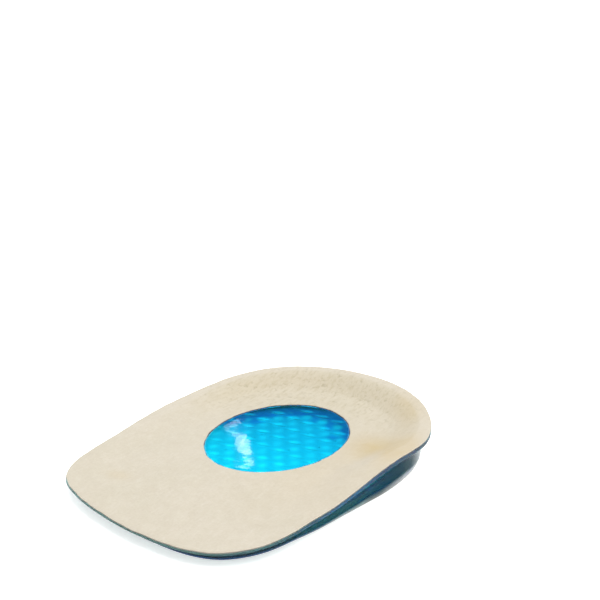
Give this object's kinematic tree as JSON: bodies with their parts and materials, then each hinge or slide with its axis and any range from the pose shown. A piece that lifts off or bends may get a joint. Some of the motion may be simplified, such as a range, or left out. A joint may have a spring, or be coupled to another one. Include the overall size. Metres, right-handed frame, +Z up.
{
  "type": "gel heel insole",
  "caption": "Heel half-insole: a clear blue gel moulding with a shallow heel cup and flared lip, under a beige suede cover with an oval window onto the gel.",
  "frame": {"origin": "under the middle of the insole's box, on the plane that the flat sole lies on", "axes": "+Y towards the heel end, -Y towards the thin toe end, +Z up through the cover, X across"},
  "size_m": [0.0686, 0.1008, 0.0104],
  "materials": {
    "gel": "clear blue gel, glossy",
    "suede": "beige microsuede, matt short nap"
  },
  "bodies": {
    "root": {"gel_body": "gel", "suede_cover": "suede"}
  },
  "joints": []
}
